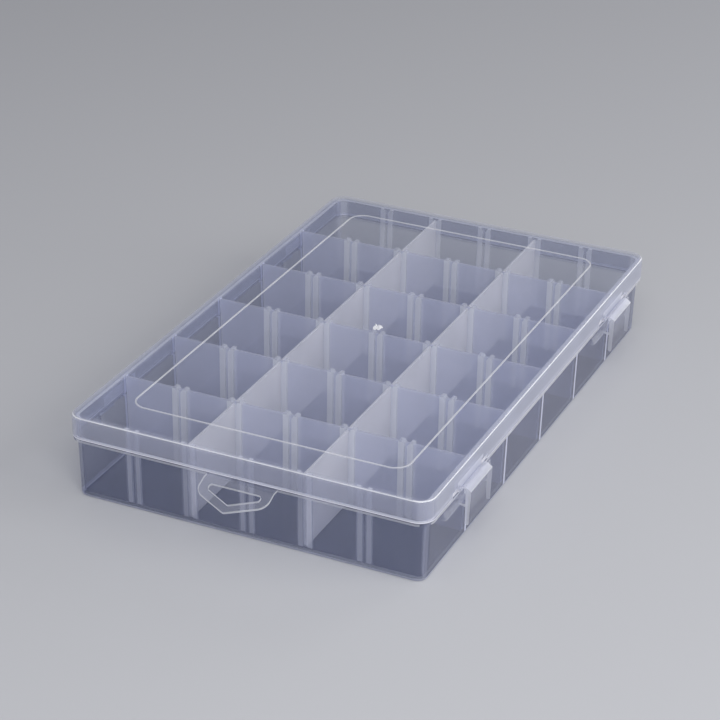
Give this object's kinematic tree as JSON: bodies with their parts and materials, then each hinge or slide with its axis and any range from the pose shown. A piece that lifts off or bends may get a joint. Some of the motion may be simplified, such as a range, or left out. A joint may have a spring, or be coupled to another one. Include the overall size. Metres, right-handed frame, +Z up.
{
  "type": "compartment storage organizer",
  "caption": "Flat translucent plastic box with a hinged lid, snap latches, a hang tab and a tray of small compartments between fixed walls and lift-out dividers.",
  "frame": {"origin": "middle of the tray's underside, on the plane that the box rests on", "axes": "+Z up, +X towards the latches, -Y towards the hang tab"},
  "size_m": [0.1592, 0.2549, 0.0358],
  "materials": {
    "tray_plastic": "translucent natural polypropylene, satin",
    "lid_plastic": "translucent natural polypropylene, satin",
    "latch_plastic": "milky natural polypropylene, satin",
    "divider_plastic": "milky natural polypropylene, satin"
  },
  "bodies": {
    "tray": {"tray": "tray_plastic"},
    "lid": {"lid": "lid_plastic"},
    "latch_front": {"latch_front": "latch_plastic"},
    "latch_rear": {"latch_rear": "latch_plastic"},
    "divider_row1_left": {"divider_row1_left": "divider_plastic"},
    "divider_row1_right": {"divider_row1_right": "divider_plastic"},
    "divider_row2_left": {"divider_row2_left": "divider_plastic"},
    "divider_row2_right": {"divider_row2_right": "divider_plastic"},
    "divider_row3_left": {"divider_row3_left": "divider_plastic"},
    "divider_row3_right": {"divider_row3_right": "divider_plastic"},
    "divider_row4_left": {"divider_row4_left": "divider_plastic"},
    "divider_row4_right": {"divider_row4_right": "divider_plastic"},
    "divider_row5_left": {"divider_row5_left": "divider_plastic"},
    "divider_row5_right": {"divider_row5_right": "divider_plastic"},
    "divider_row6_left": {"divider_row6_left": "divider_plastic"},
    "divider_row6_right": {"divider_row6_right": "divider_plastic"}
  },
  "joints": [
    {"name": "lid_hinge", "type": "hinge", "parent": "tray", "child": "lid", "pos_m": [-0.0774, 0, 0.0229], "axis": [0, -1, 0], "range_deg": [0, 180]},
    {"name": "latch_front_hinge", "type": "hinge", "parent": "lid", "child": "latch_front", "pos_m": [0.07685, -0.0815, 0.027], "axis": [0, -1, 0], "range_deg": [0, 120]},
    {"name": "latch_rear_hinge", "type": "hinge", "parent": "lid", "child": "latch_rear", "pos_m": [0.07685, 0.0765, 0.027], "axis": [0, -1, 0], "range_deg": [0, 120]},
    {"name": "divider_row1_left_lift", "type": "slide", "parent": "tray", "child": "divider_row1_left", "axis": [0, 0, 1], "range_m": [0, 0.0004]},
    {"name": "divider_row1_right_lift", "type": "slide", "parent": "tray", "child": "divider_row1_right", "axis": [0, 0, 1], "range_m": [0, 0.0004]},
    {"name": "divider_row2_left_lift", "type": "slide", "parent": "tray", "child": "divider_row2_left", "axis": [0, 0, 1], "range_m": [0, 0.0004]},
    {"name": "divider_row2_right_lift", "type": "slide", "parent": "tray", "child": "divider_row2_right", "axis": [0, 0, 1], "range_m": [0, 0.0004]},
    {"name": "divider_row3_left_lift", "type": "slide", "parent": "tray", "child": "divider_row3_left", "axis": [0, 0, 1], "range_m": [0, 0.0004]},
    {"name": "divider_row3_right_lift", "type": "slide", "parent": "tray", "child": "divider_row3_right", "axis": [0, 0, 1], "range_m": [0, 0.0004]},
    {"name": "divider_row4_left_lift", "type": "slide", "parent": "tray", "child": "divider_row4_left", "axis": [0, 0, 1], "range_m": [0, 0.0004]},
    {"name": "divider_row4_right_lift", "type": "slide", "parent": "tray", "child": "divider_row4_right", "axis": [0, 0, 1], "range_m": [0, 0.0004]},
    {"name": "divider_row5_left_lift", "type": "slide", "parent": "tray", "child": "divider_row5_left", "axis": [0, 0, 1], "range_m": [0, 0.0004]},
    {"name": "divider_row5_right_lift", "type": "slide", "parent": "tray", "child": "divider_row5_right", "axis": [0, 0, 1], "range_m": [0, 0.0004]},
    {"name": "divider_row6_left_lift", "type": "slide", "parent": "tray", "child": "divider_row6_left", "axis": [0, 0, 1], "range_m": [0, 0.0004]},
    {"name": "divider_row6_right_lift", "type": "slide", "parent": "tray", "child": "divider_row6_right", "axis": [0, 0, 1], "range_m": [0, 0.0004]}
  ]
}
